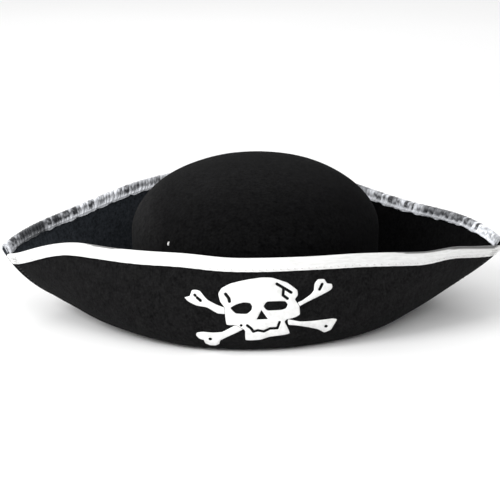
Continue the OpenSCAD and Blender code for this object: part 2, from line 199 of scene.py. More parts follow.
def felt_unevenness(angle, side, t):
    """How far the soft felt strays inwards from its pattern, in millimetres."""
    slow = (np.sin(3.1 * angle + 1.7 * side) * np.sin(2.6 * t + 0.4)
            + 0.7 * np.sin(5.3 * angle - 0.9 * side + 2.2 * t)
            + 0.45 * np.sin(9.7 * angle + 2.3 * side - 3.4 * t)
            + 0.25 * np.sin(17.3 * angle + 5.1 * t))
    crease = KEEL_CREASE * bell(np.sin(angle), 0, CREASE_SINE)
    return (FELT_STRAY * slow + crease) * smoothstep(t / 0.25)


def on_own_side(p, side, gap=SEAM_GAP):
    """Keeps points on their own flap's side of the sewn keel."""
    p[..., 1] = side * np.maximum(side * p[..., 1], gap)
    return p


def on_flap(angle, side, t, depth):
    """Points in a flap: depth 0 is the outer face, FELT the inner one."""
    angle, t = np.broadcast_arrays(np.asarray(angle, float), np.asarray(t, float))
    normal = flap_in(angle, side, t)
    p = plain_flap(angle, side, t)
    p = p + normal * (felt_unevenness(angle, side, t) + depth)[..., None]
    return on_own_side(p, side)


def down_from_edge(angle, side, length):
    """The profile's position a length down from the top edge, found by stepping to it."""
    angle = np.asarray(angle, float)
    top = edge_point(angle, side)
    t = np.full(angle.shape, 0.9)
    for _ in range(5):
        missing = length - np.linalg.norm(top - plain_flap(angle, side, t), axis=-1)
        t = t - missing / (3 * np.linalg.norm(profile_slope(angle, side, t), axis=-1))
    return t


def on_crown(angle, v, inward=0.0):
    """v runs from 0 at the crown's foot over 1 at the top of its wall to 2 at its top."""
    angle, v = np.broadcast_arrays(np.asarray(angle, float), np.asarray(v, float))
    rise = np.clip(v - 1, 0, 1) * math.pi / 2
    wobble = (0.8 * np.sin(2 * angle + 0.7) * smoothstep(v)
              + 0.5 * np.sin(5 * angle + 2.1 * v) * smoothstep(v)
              + 0.35 * np.sin(9 * angle - 3.0 * v)) * np.cos(rise)
    p = oval(angle, 1, inward)
    p = p * np.cos(rise)[..., None] + oval_out(angle) * wobble[..., None]
    p[..., 2] = np.where(v < 1, mix(CROWN_FOOT, WALL_H, np.minimum(v, 1)),
                         WALL_H + (CROWN_H - WALL_H - inward) * np.sin(rise))
    return p


# ---- Mesh helpers ------------------------------------------------------------------


def new_piece(name, points, faces, body="hat", uv=None, smooth_angle=50):
    """A mesh from points in millimetres. uv gives a pair for each point, in millimetres."""
    mesh = bpy.data.meshes.new(name)
    mesh.from_pydata((np.asarray(points) * MM).tolist(), [], [list(map(int, f)) for f in faces])
    mesh.validate()
    mesh.shade_smooth()
    mesh.set_sharp_from_angle(angle=math.radians(smooth_angle))
    if uv is not None:
        layer = mesh.uv_layers.new(name="cloth")
        corner = np.zeros(len(mesh.loops), int)
        mesh.loops.foreach_get("vertex_index", corner)
        layer.data.foreach_set("uv", (np.asarray(uv)[corner] * MM).ravel())
    piece = bpy.data.objects.new(name, mesh)
    bpy.context.collection.objects.link(piece)
    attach(piece, body)
    return piece


def paint_felt_light(piece, colour, weight):
    """Painted light: felt made lighter, by a weight for each point."""
    rows = np.ones((len(piece.data.vertices), 4))
    rows[:, :3] = np.asarray(weight).reshape(-1, 1) * np.asarray(colour)
    layer = piece.data.color_attributes.new("felt_light_paint", "FLOAT_COLOR", "POINT")
    layer.data.foreach_set("color", rows.ravel())


def grid_faces(rows, cols, first=0, flip=False):
    """Faces over a grid of points whose rows close on themselves."""
    faces = []
    for i in range(rows - 1):
        for j in range(cols):
            k = (j + 1) % cols
            a, b = first + i * cols, first + (i + 1) * cols
            face = (a + j, b + j, b + k, a + k)
            faces.append(face[::-1] if flip else face)
    return faces


def skin(rings, flip=False):
    """Faces over rings of equal length, closed around each ring and capped at both ends."""
    rows, cols = rings.shape[:2]
    start = list(range(cols))
    end = [(rows - 1) * cols + j for j in range(cols)]
    caps = [start[::-1], end] if flip else [start, end[::-1]]
    return grid_faces(rows, cols, flip=flip) + caps


def lengths_along(points):
    """Running length along the first axis of a grid of points, in millimetres."""
    step = np.linalg.norm(np.diff(points, axis=0), axis=-1)
    return np.concatenate([np.zeros((1,) + step.shape[1:]), np.cumsum(step, axis=0)])


def thread_piece(name, paths, normals, diameter=THREAD_D, sides=8):
    """One thread for each path of points, with ends that narrow into the cloth."""
    count, steps = paths.shape[:2]
    tangent = unit(np.gradient(paths, axis=1))
    binormal = unit(np.cross(tangent, normals))
    normal = np.cross(binormal, tangent)
    taper = 1 - THREAD_TAPER * np.abs(np.linspace(-1, 1, steps)) ** 3
    turn = np.linspace(0, 2 * math.pi, sides, endpoint=False)
    ring = (normal[:, :, None] * np.cos(turn)[:, None]
            + binormal[:, :, None] * np.sin(turn)[:, None])
    points = paths[:, :, None] + ring * (diameter / 2 * taper)[None, :, None, None]
    uv = np.zeros(points.shape[:-1] + (2,))
    along = np.moveaxis(lengths_along(np.moveaxis(paths, 1, 0)), 0, 1)
    uv[..., 0] = along[:, :, None]
    uv[..., 1] = turn * diameter / 2
    faces = []
    block = steps * sides
    for n in range(count):
        faces += [[n * block + i for i in f] for f in skin(points[n])]
    return new_piece(name, points.reshape(-1, 3), faces, uv=uv.reshape(-1, 2))


# ---- Materials ---------------------------------------------------------------------


class Nodes:
    """A material with a principled shader, and short calls that add its nodes."""

    def __init__(self, name, **shader):
        self.material = bpy.data.materials.new(name)
        self.material.use_nodes = True
        self.tree = self.material.node_tree
        self.shader = self.tree.nodes["Principled BSDF"]
        for key, value in shader.items():
            self.shader.inputs[key.replace("_", " ")].default_value = value

    def add(self, kind, **values):
        node = self.tree.nodes.new("ShaderNode" + kind)
        for key, value in values.items():
            name = key.replace("_", " ")
            if name in node.inputs:
                self.put(value, node.inputs[name])
            else:
                setattr(node, key, value)
        return node

    def put(self, value, socket):
        if isinstance(value, bpy.types.NodeSocket):
            self.tree.links.new(value, socket)
        else:
            socket.default_value = value

    def coords(self, kind="Object", scale=(1, 1, 1), rotation=(0, 0, 0)):
        mapping = self.add("Mapping", Scale=scale, Rotation=rotation)
        self.put(self.add("TexCoord").outputs[kind], mapping.inputs["Vector"])
        return mapping.outputs["Vector"]

    def noise(self, vector, scale, detail=3.0, roughness=0.55):
        return self.add("TexNoise", Vector=vector, Scale=scale, Detail=detail,
                        Roughness=roughness).outputs["Fac"]

    def math(self, operation, a, b=0.0):
        node = self.add("Math", operation=operation)
        self.put(a, node.inputs[0])
        self.put(b, node.inputs[1])
        return node.outputs[0]

    def mixed(self, blend, a, b):
        node = self.add("Mix", data_type="RGBA", blend_type=blend)
        self.put(1.0, node.inputs[0])
        self.put(a, node.inputs[6])
        self.put(b, node.inputs[7])
        return node.outputs[2]

    def ramp(self, factor, low, high, start=0.0, end=1.0):
        node = self.add("ValToRGB", Fac=factor)
        node.color_ramp.elements[0].position = start
        node.color_ramp.elements[1].position = end
        node.color_ramp.elements[0].color = (*low, 1)
        node.color_ramp.elements[1].color = (*high, 1)
        return node.outputs["Color"]

    def bump(self, height, distance, strength=1.0):
        node = self.add("Bump", Height=height, Distance=distance, Strength=strength)
        self.put(node.outputs["Normal"], self.shader.inputs["Normal"])

    def colour(self, value):
        self.put(value, self.shader.inputs["Base Color"])

    def roughness(self, factor, low, high):
        node = self.add("MapRange")
        self.put(factor, node.inputs["Value"])
        node.inputs["To Min"].default_value = low
        node.inputs["To Max"].default_value = high
        self.put(node.outputs["Result"], self.shader.inputs["Roughness"])


def felt_material(name, dark, light, sheen):
    """Matted fibres over slow blotches, with painted light added where the mesh says so."""
    m = Nodes(name, Specular_IOR_Level=0.03, Sheen_Weight=sheen, Sheen_Roughness=0.55,
              Sheen_Tint=(0.75, 0.76, 0.82, 1))
    blotch = m.noise(m.coords(), 170, 4)
    grain = m.noise(m.coords(), 520, 3, 0.6)
    fuzz = m.noise(m.coords(), 2300, 4, 0.65)
    fibres = [m.noise(m.coords(scale=(1, 9, 1), rotation=(0.3, 0.5, turn)), 330, 2)
              for turn in (0.4, 1.6, 2.7)]
    strands = m.math("MAXIMUM", m.math("MAXIMUM", fibres[0], fibres[1]), fibres[2])
    tone = m.math("ADD", m.math("ADD", m.math("MULTIPLY", blotch, 0.25),
                                m.math("MULTIPLY", grain, 0.45)),
                  m.math("ADD", m.math("MULTIPLY", fuzz, 0.2), m.math("MULTIPLY", strands, 0.3)))
    flat = m.ramp(tone, dark, light, 0.50, 0.76)
    # Painted light from the mesh, added to the felt's colour.
    felt_light_paint = m.add("Attribute", attribute_name="felt_light_paint").outputs["Color"]
    depth = m.ramp(tone, (0.35, 0.35, 0.35), (1.2, 1.2, 1.2), 0.5, 0.76)
    painted_light_tone = m.mixed("MULTIPLY", felt_light_paint, depth)
    m.colour(m.mixed("ADD", flat, painted_light_tone))
    m.roughness(fuzz, 0.82, 1.0)
    m.bump(m.math("ADD", fuzz, m.math("MULTIPLY", strands, 1.2)), 0.00035, 0.8)
    return m.material


def satin_material(name, dark, light):
    """Woven ribbon: fine crosswise threads with lengthwise ribs, from the cloth's UV."""
    m = Nodes(name, Specular_IOR_Level=0.5, Sheen_Weight=0.15, Sheen_Roughness=0.4,
              Anisotropic=0.35)
    uv = m.coords("UV")
    weft = m.add("TexWave", Vector=uv, Scale=420, Distortion=0.6, Detail=1.0).outputs["Fac"]
    ribs = m.add("TexWave", Vector=m.coords("UV", rotation=(0, 0, math.pi / 2)), Scale=190,
                 Distortion=0.4, Detail=1.0).outputs["Fac"]
    wear = m.noise(m.coords("UV", scale=(1, 3, 1)), 160, 4)
    lines = m.noise(m.coords("UV", scale=(0.06, 1, 1)), 900, 2)
    tone = m.math("ADD", m.math("MULTIPLY", wear, 0.5), m.math("MULTIPLY", lines, 0.5))
    # Painted shade stored with the mesh darkens the colour.
    shade = m.add("Attribute", attribute_name="shade").outputs["Fac"]
    m.colour(m.mixed("MULTIPLY", m.ramp(tone, dark, light, 0.35, 0.6),
                     m.ramp(shade, (0, 0, 0), (1, 1, 1))))
    m.roughness(wear, 0.3, 0.48)
    m.bump(m.math("ADD", m.math("MULTIPLY", weft, 0.5), ribs), 0.00012, 0.6)
    return m.material


def puckered_material(name):
    """Silver satin, with painted light and shade on each fold: the shade stored with the mesh."""
    m = Nodes(name, Specular_IOR_Level=0.4, Sheen_Weight=0.1, Sheen_Roughness=0.4,
              Anisotropic=0.3)
    shade = m.add("Attribute", attribute_name="shade").outputs["Fac"]
    fine = m.noise(m.coords("UV", scale=(1, 0.3, 1)), 1100, 3)
    tone = m.math("ADD", shade, m.math("MULTIPLY", m.math("SUBTRACT", fine, 0.5), 0.16))
    m.colour(m.ramp(tone, (0.006, 0.007, 0.010), (0.90, 0.92, 0.97)))
    m.roughness(fine, 0.32, 0.52)
    weft = m.add("TexWave", Vector=m.coords("UV"), Scale=420, Distortion=0.8).outputs["Fac"]
    m.bump(m.math("ADD", m.math("MULTIPLY", weft, 0.4), fine), 0.0002, 0.6)
    return m.material


def thread_material(name, dark, light):
    """Plied thread: slanted stripes along each stitch."""
    m = Nodes(name, Roughness=0.6, Specular_IOR_Level=0.15, Sheen_Weight=0.03)
    ply = m.add("TexWave", Vector=m.coords("UV", rotation=(0, 0, 0.9)), Scale=260,
                Distortion=0.3).outputs["Fac"]
    m.colour(m.ramp(ply, dark, light, 0.1, 0.8))
    m.bump(ply, 0.0002, 0.8)
    return m.material


def print_material(name):
    """A matt film that lets the felt's grain through."""
    m = Nodes(name, Specular_IOR_Level=0.3)
    grain = m.noise(m.coords(), 1500, 3, 0.6)
    wear = m.noise(m.coords(), 240, 4, 0.6)
    m.colour(m.ramp(wear, (0.68, 0.68, 0.67), (0.79, 0.79, 0.785), 0.35, 0.6))
    m.roughness(grain, 0.5, 0.75)
    m.bump(m.math("ADD", grain, wear), 0.00025, 0.55)
    return m.material


def twill_material(name, dark, light, scale=420, turn=0.8):
    """Ribbed weave, its ribs turned against the cloth."""
    m = Nodes(name, Specular_IOR_Level=0.3, Sheen_Weight=0.15, Sheen_Roughness=0.5)
    rib = m.add("TexWave", Vector=m.coords("UV", rotation=(0, 0, turn)), Scale=scale,
                Distortion=0.5, Detail=2.0).outputs["Fac"]
    wear = m.noise(m.coords("UV"), 260, 4)
    m.colour(m.ramp(m.math("ADD", m.math("MULTIPLY", rib, 0.5),
                           m.math("MULTIPLY", wear, 0.5)), dark, light, 0.2, 0.8))
    m.roughness(wear, 0.6, 0.85)
    m.bump(rib, 0.00025, 0.7)
    return m.material


MATERIALS = {
    "black_felt": felt_material("black_felt", (0.0004, 0.0004, 0.0005),
                                (0.0055, 0.0055, 0.0057), 0.008),
    "white_satin": satin_material("white_satin", (0.68, 0.68, 0.67), (0.80, 0.80, 0.795)),
    "silver_satin": puckered_material("silver_satin"),
    "white_thread": thread_material("white_thread", (0.55, 0.55, 0.54), (0.9, 0.9, 0.89)),
    "black_thread": thread_material("black_thread", (0.002, 0.002, 0.002), (0.010, 0.010, 0.010)),
    "black_band": twill_material("black_band", (0.008, 0.008, 0.009), (0.03, 0.03, 0.032)),
    "white_label": twill_material("white_label", (0.6, 0.6, 0.58), (0.85, 0.85, 0.83), 900, 0.0),
    "white_print": print_material("white_print"),
}


def dress(piece, material, *nodes):
    """Gives a piece its material and hides the CAD nodes it stands for."""
    piece.data.materials.append(MATERIALS[material])
    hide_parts(*nodes)
    return piece


# ---- Crown -------------------------------------------------------------------------


# Painted light on the black felt: the colours added where the felt is to look lit.
GREY_PAINTED_LIGHT = (0.030, 0.030, 0.030)
COOL_PAINTED_LIGHT = (0.032, 0.037, 0.044)           # the back flap's painted light, slightly blue
FLAP_PAINTED_LIGHT = 0.19                            # how much painted light a flap gets all over
DOME_END = 1.995                           # just short of the top, which a small cap closes


def make_crown():
    around, wall, dome = 240, 22, 44
    angle = np.linspace(0, 2 * math.pi, around, endpoint=False)
    v = np.concatenate([np.linspace(0, 1, wall, endpoint=False), np.linspace(1, DOME_END, dome)])
    outer = on_crown(angle[None, :], v[:, None])
    inner = on_crown(angle[None, :], v[:, None], FELT)
    rows = len(v)
    points = np.concatenate([outer.reshape(-1, 3), inner.reshape(-1, 3)])
    first = rows * around
    faces = grid_faces(rows, around, flip=True)
    faces += grid_faces(rows, around, first)
    for j in range(around):
        k = (j + 1) % around
        faces.append((j, k, first + k, first + j)[::-1])
    faces.append([(rows - 1) * around + j for j in range(around)])
    faces.append([first + (rows - 1) * around + j for j in range(around)][::-1])
    piece = new_piece("crown_felt", points, faces)
    x, z = points[:, 0], points[:, 2]
    # Painted light: lighter on the left wall and the dome, and slightly over the left half and the
    # foot.
    paint_felt_light(piece, GREY_PAINTED_LIGHT, 0.36 * smoothstep((-x - 58) / 28) + 0.13 * smoothstep((z - 84) / 26)
          + 0.06 * smoothstep(-x / 60) + 0.06 * smoothstep((60 - z) / 20))
    dress(piece, "black_felt", "crown")


# ---- Flaps -------------------------------------------------------------------------


def make_flap(name, side, node):
    around, up = 300, 46
    angle = np.linspace(0, HALF_TURN, around)
    if side == BACK:
        angle = angle[::-1]
    t = np.linspace(0, 1, up)
    outer = on_flap(angle[:, None], side, t[None, :], 0.0)
    inner = on_flap(angle[:, None], side, t[None, ::-1], FELT)
    foot = on_own_side(oval(angle, side, FELT), side)
    over = foot + np.array([0, 0, FELT])
    rings = np.concatenate([foot[:, None], outer, inner, over[:, None]], axis=1)
    piece = new_piece(name, rings.reshape(-1, 3), skin(rings))
    # Painted light: a little over each flap; the back flap's inner face instead gets it only towards
    # the left, strongly; the front flap gets more towards the right.
    lift = np.full(rings.shape[:2], FLAP_PAINTED_LIGHT)
    if side == BACK:
        lift[:, up + 1:] = 1.15 * smoothstep((-20 - rings[:, up + 1:, 0]) / 70)
    else:
        lift += 0.10 * smoothstep((rings[..., 0] - 20) / 120)
    paint_felt_light(piece, COOL_PAINTED_LIGHT if side == BACK else GREY_PAINTED_LIGHT, lift)
    return dress(piece, "black_felt", node)


# ---- Ribbons -----------------------------------------------------------------------

LEG_STEPS, FOLD_STEPS = 12, 8
SCALLOP = {FRONT: 0.03, BACK: 0.28}        # how unevenly the lower edges run
SLIP, SLIP_FROM, SLIP_OVER = 0.9, 112, 22  # how far the front ribbon slips, from where


def leg_length(angle, side, face):
    """How far the ribbon reaches down a face: the front one slips inwards near the tips."""
    slip = SLIP * smoothstep((np.abs(edge_point(angle, side)[..., 0]) - SLIP_FROM) / SLIP_OVER)
    return RIBBON_W[side] + face * (slip if side == FRONT else 0)


def ribbon_section(angle, side, lift):
    """Points across the ribbon's face, up the outer leg, over the edge, down the inner leg.

    lift is how far the face stands off the felt at each of them, in millimetres."""
    scallop = SCALLOP[side] * (np.sin(61 * angle) + 0.7 * np.sin(97 * angle + 1)
                               + 0.5 * np.sin(151 * angle + 2))
    share = np.linspace(0, 1, LEG_STEPS, endpoint=False)
    lowest = (down_from_edge(angle, side, leg_length(angle, side, face) + scallop)
              for face in (-1, 1))
    t_out, t_in = (mix(t[:, None], 1.0, share) for t in lowest)
    outer = on_flap(angle[:, None], side, t_out, -lift[:, :LEG_STEPS])
    inner = on_flap(angle[:, None], side, t_in[:, ::-1], FELT + lift[:, -LEG_STEPS:])
    across = flap_in(angle, side, np.ones_like(angle))
    up = unit(profile_slope(angle, side, np.ones_like(angle)))
    middle = on_flap(angle, side, np.ones_like(angle), FELT / 2)
    turn = np.linspace(0, math.pi, FOLD_STEPS)
    radius = FELT / 2 + lift[:, LEG_STEPS:LEG_STEPS + FOLD_STEPS, None]
    fold = middle[:, None] + radius * (np.sin(turn)[:, None] * up[:, None]
                                       - np.cos(turn)[:, None] * across[:, None])
    return on_own_side(np.concatenate([outer, fold, inner], axis=1), side, SEAM_GAP / 2)


def ribbon_piece(name, side, count, fold_of, node, material):
    angle = np.linspace(RIBBON_END, HALF_TURN - RIBBON_END, count)
    if side == BACK:
        angle = angle[::-1]
    cols = 2 * LEG_STEPS + FOLD_STEPS
    plain = ribbon_section(angle, side, np.full((count, cols), GAP + RIBBON_T))
    along = lengths_along(plain)[:, cols // 2]
    across = np.moveaxis(lengths_along(np.moveaxis(plain, 1, 0)), 0, 1)
    across = across - across[:, cols // 2][:, None]
    puff, shade = fold_of(along[:, None], across, plain[:, cols // 2, 0][:, None])
    face = ribbon_section(angle, side, GAP + RIBBON_T + puff)
    lining = ribbon_section(angle, side, GAP + 0.6 * np.minimum(puff, 0.2))
    rings = np.concatenate([face, lining[:, ::-1]], axis=1)
    uv = np.stack([np.broadcast_to(along[:, None], across.shape), across], -1)
    uv = np.concatenate([uv, uv[:, ::-1]], axis=1)
    piece = new_piece(name, rings.reshape(-1, 3), skin(rings), uv=uv.reshape(-1, 2),
                      smooth_angle=70)
    layer = piece.data.attributes.new("shade", "FLOAT", "POINT")
    layer.data.foreach_set("value", np.concatenate([shade, shade[:, ::-1]], axis=1).ravel())
    dress(piece, material, node)


# Along the hat's width, in millimetres: how far down the front ribbon's face a painted shade
# reaches, where the ribbon rolls inward. A negative reach is no painted shade.
FRONT_ROLL_SHADE = np.array([(-124, -1), (-108, 1.5), (-96, 1.5), (-82, -1), (84, -1), (104, 1.7),
                       (132, 1.7), (142, 2.5), (168, 2.5), (176, -1)]).T
ROLL_SHADE = 0.17                          # how light the painted shade is


def front_fold(along, across, x):
    """Nearly flat, with a rolled selvedge and shallow dimples between the stitches, and painted
    shade along its top where it rolls inward.
    """
    leg = np.abs(across) / (RIBBON_W[FRONT] + FOLD_REACH)
    selvedge = 0.22 * bell(leg, 0.97, 0.045)
    groove = -0.16 * bell(leg, 0.84, 0.05)
    ripple = 0.10 * np.sin(2 * math.pi * along / 7.1) * smoothstep((leg - 0.35) / 0.6)
    slow = 0.12 * np.sin(along / 19.0 + 1.3) + 0.08 * np.sin(along / 7.7)
    lift = selvedge + groove + ripple + slow * (1 - leg)
    # Painted shade over the fold's top and down the outer face, none on the inner leg.
    reach = np.interp(x, *FRONT_ROLL_SHADE)
    shade = mix(ROLL_SHADE, 1, smoothstep((-across - reach) / 0.5))
    return lift, mix(shade, 1, smoothstep((across - 0.7) / 0.8))


# Painted light and shade of the back ribbon. Each row is a place along the hat's width, in
# millimetres, how light the back ribbon is painted there, how far its folds' painted shine differs,
# and how light its lower rim is painted.
BACK_PAINTED_LIGHT = np.array([
    (-181, 0.75, 0.30, 0.80), (-174, 0.45, 0.60, 0.45), (-170, 0.03, 0.03, 0.20),
    (-156, 0.03, 0.03, 0.16), (-153, 0.50, 0.50, 1.00), (-149, 0.10, 0.30, 0.60),
    (-140, 0.20, 0.50, 1.00), (-130, 0.35, 0.65, 1.20), (-118, 0.80, 0.50, 1.30),
    (-100, 0.55, 0.50, 1.30), (-85, 0.32, 0.25, 1.25), (0, 0.45, 0.40, 1.00),
    (79, 0.28, 0.25, 0.85), (90, 0.38, 0.50, 1.00), (110, 0.35, 0.65, 1.00),
    (122, 0.40, 0.85, 0.95), (126, 0.15, 0.16, 0.65), (142, 0.12, 0.18, 0.60),
    (158, 0.15, 0.35, 0.66), (162, 0.45, 0.95, 0.80), (171, 0.60, 0.60, 0.95),
    (177, 0.90, 0.15, 1.00)]).T
FOLD_WIDTHS, FOLD_COUNT = (1.4, 4.0), 280
FOLD_SLANT = 0.30          # how far a fold leans along the ribbon, per millimetre across it


def back_fold(along, across, x):
    """Crosswise puckers of uneven width with a full lower rim, and painted shade: shine on each
    fold, dark gaps between them and a light lower rim.
    """
    rng = np.random.default_rng(11)
    widths = rng.uniform(*FOLD_WIDTHS, FOLD_COUNT)
    starts = np.concatenate([[0], np.cumsum(widths)])
    shine, gap, phase = rng.random((3, len(starts)))
    leg = np.abs(across) / (RIBBON_W[BACK] + FOLD_REACH)
    skew = (along + FOLD_SLANT * across + 0.8 * np.sin(along / 11.0)
            + 0.4 * np.sin(across * 0.9) + 8)
    fold = np.clip(np.searchsorted(starts, skew) - 1, 0, len(widths) - 1)
    place = np.clip((skew - starts[fold]) / widths[fold], 0, 1)
    swell = np.sin(math.pi * place) ** 0.7
    deep = (0.35 + 0.65 * smoothstep(leg / 0.3)) * (1 - 0.5 * smoothstep((leg - 0.8) / 0.2))
    roll = bell(leg, 0.95, 0.06)
    lift = 0.2 + deep * swell * (0.35 + 0.12 * widths[fold]) + 0.5 * roll
    # Painted light and shade along the ribbon, from the table.
    painted_level, differ, rim = (np.interp(x, BACK_PAINTED_LIGHT[0], row) for row in BACK_PAINTED_LIGHT[1:])
    spot = np.sin(1.5 * across + 6.3 * phase[fold] + np.sin(along * 1.3))
    body = painted_level + differ * (1.7 * shine[fold] - 0.85 + 0.35 * spot)
    low = smoothstep((leg - mix(0.50, 0.72, phase[fold])) / 0.22)
    light = mix(np.clip(body, 0.03, 1.1), rim * (0.75 + 0.35 * shine[fold]), low)
    # Painted shade in the gaps between the folds.
    gap_shade = mix(0.12, 0.5, gap[fold]) * (1 - low) + 0.55 * low
    shade = light * mix(gap_shade, 1, smoothstep(swell / 0.55))
    return lift, np.clip(shade, 0.02, 1.2)


def make_ribbons():
    ribbon_piece("front_ribbon_cloth", FRONT, 560, front_fold, "front_ribbon",
                 "white_satin")
    ribbon_piece("back_ribbon_cloth", BACK, 1250, back_fold, "back_ribbon",
                 "silver_satin")


# ---- Stitches ----------------------------------------------------------------------


def arched(steps=9):
    """The share along a stitch, and the share of its height that it has there."""
    s = np.linspace(0, 1, steps)
    return s, np.sin(math.pi * s) ** 0.45


def make_ribbon_stitches(name, side, node):
    count, end, inset, fill = 66, math.radians(5), 1.5, 0.6
    sink, height = 0.45, 0.55
    s, rise = arched()
    over_felt = GAP + RIBBON_T - sink + (height + THREAD_D * 0.45) * rise
    paths, normals = [], []
    for face in (-1, 1):
        for i in range(count):
            angle = mix(end, HALF_TURN - end, (i + fill * s) / count)
            t = down_from_edge(angle, side, leg_length(angle, side, face) - inset)
            depth = -over_felt if face < 0 else FELT + over_felt
            paths.append(on_flap(angle, side, t, depth))
            normals.append(face * flap_in(angle, side, t))
    piece = thread_piece(name, np.array(paths), np.array(normals))
    return dress(piece, "white_thread", node)


def make_tip_tacks(name, angle, node):
    count, pitch, drop = 3, 1.9, 1.2
    near, far = math.radians(1.4), math.radians(3.6)
    s, rise = arched()
    over_felt = GAP + RIBBON_T + 0.1 + 0.55 * rise
    paths, normals = [], []
    for i in range(count):
        for side in (FRONT, BACK):
            along = np.abs(angle - mix(near, far, s))
            t = down_from_edge(along, side, drop + i * pitch)
            paths.append(on_flap(along, side, t, -over_felt))
            normals.append(-flap_in(along, side, t))
    piece = thread_piece(name, np.array(paths), np.array(normals))
    return dress(piece, "white_thread", node)


def make_headline_seam():
    count, slant = 96, math.radians(1.2)
    low, climb = FELT + THREAD_D / 2, 2.8
    s, rise = arched(7)
    paths, normals = [], []
    for i in range(count):
        angle = 2 * math.pi * (i + 0.5) / count + slant * s
        out = oval_out(angle)
        off = mix(1.5, 0.15, s) + 0.35 * rise
        p = oval(angle) + out * off[:, None]
        p[:, 2] = mix(low, low + climb, s) + 0.2 * rise
        paths.append(p)
        normals.append(out)
    piece = thread_piece("headline_thread", np.array(paths), np.array(normals))
    dress(piece, "black_thread", "headline_seam")


def make_side_seam(name, angle, node):
    count, near, far = 18, math.radians(0.4), math.radians(2.4)
    first, slant = 0.17, 0.012
    sink, height = 0.25, 0.42
    last = down_from_edge(angle, FRONT, RIBBON_W[FRONT] + 2.5)
    s, rise = arched()
    paths, normals = [], []
    for i in range(count):
        t = mix(first, last, i / (count - 1)) + slant * s
        for side in (FRONT, BACK):
            along = np.abs(angle - mix(near, far, s))
            paths.append(on_flap(along, side, t, sink - height * rise))
            normals.append(-flap_in(along, side, t))
    piece = thread_piece(name, np.array(paths), np.array(normals))
    return dress(piece, "black_thread", node)


# ---- Sweatband ---------------------------------------------------------------------


def band_rings(outer, thickness, foot, height, start, end, steps, belly):
    """Rings round a band's section, from one angle to another along the oval."""
    angle = np.linspace(start, end, steps)
    share = np.linspace(0, 1, 13)
    z = foot + (height - foot) * share
    ripple = belly * (np.sin(7 * angle) + 0.6 * np.sin(17 * angle + 1))[:, None] * share ** 2
    roll = 0.25 * bell(share, 0.95, 0.06)
    inner = outer + thickness + np.maximum(ripple, -0.2) + roll
    wall, inwards = oval(angle)[:, None], oval_out(angle)[:, None]
    up = np.array([0, 0, 1.0]) * z[:, None]
    out_face = wall - inwards * outer + up
    in_face = wall - inwards * inner[..., None] + up
    rings = np.concatenate([out_face, in_face[:, ::-1]], axis=1)
    along = lengths_along(out_face)[:, 0]
    uv = np.stack([np.broadcast_to(along[:, None], rings.shape[:2]),
                   np.broadcast_to(np.concatenate([z, z[::-1]]), rings.shape[:2])], -1)
    return rings, uv


def make_sweatband():
    back_join, slit = math.pi / 2, 0.002
    tape_w, tape_t, tape_gap = 16, 0.5, 0.3
    rings, uv = band_rings(BAND_OUT, BAND_T, 0, BAND_H, back_join + slit,
                           back_join + 2 * math.pi - slit, 360, 0.12)
    piece = new_piece("sweatband_twill", rings.reshape(-1, 3), skin(rings, flip=True),
                      uv=uv.reshape(-1, 2))
    dress(piece, "black_band", "sweatband")
    half = tape_w / 2 / CROWN_A
    rings, uv = band_rings(BAND_OUT + BAND_T + tape_gap, tape_t, 1, BAND_H - 0.3,
                           back_join - half, back_join + half, 24, 0.04)
    piece = new_piece("join_tape", rings.reshape(-1, 3), skin(rings, flip=True),
                      uv=uv.reshape(-1, 2))
    dress(piece, "black_band", "sweatband_join")


def make_sweatband_stitches():
    count, height, fill = 100, 6.0, 0.6
    s, rise = arched(7)
    join = math.radians(9)     # to each side, under the join tape
    paths, normals = [], []
    for i in range(count):
        start = 2 * math.pi * i / count
        angle = start + 2 * math.pi * fill * s / count
        for face in (1, -1):
            if face < 0 and abs(start - math.pi / 2) < join:
                continue
            surface = 0.0 if face > 0 else BAND_OUT + BAND_T + 0.15
            off = face * (0.45 * rise - 0.1)
            p = oval(angle) - oval_out(angle) * (surface - off)[:, None]
            if face > 0:
                p = on_crown(angle, (height - CROWN_FOOT) / (WALL_H - CROWN_FOOT)) \
                    + oval_out(angle) * off[:, None]
            p[:, 2] = height
            paths.append(p)
            normals.append(face * oval_out(angle))
    piece = thread_piece("sweatband_thread", np.array(paths), np.array(normals))
    dress(piece, "black_thread", "sweatband_stitches")


# ---- Care label --------------------------------------------------------------------

LABEL_ANGLE = math.radians(133)
LABEL_TOP, LABEL_OFF = 66.0, 4.0
KNOT_L, KNOT_UP, KNOT_ALONG = 2.4, 1.0, 1.3
LABEL_W, LABEL_L, LABEL_T = 18.0, 28.0, 0.5
HEM_R, PIVOT_D = 0.75, 0.8


def label_frame():
    """The label's pivot, its direction along the wall and its direction out of the hat."""
    angle = np.array(LABEL_ANGLE)
    out = oval_out(angle, FRONT)
    pivot = oval(angle, FRONT, FELT + LABEL_OFF) + np.array([0, 0, LABEL_TOP])
    along = np.array([out[1], -out[0], 0])
    return pivot, along, out


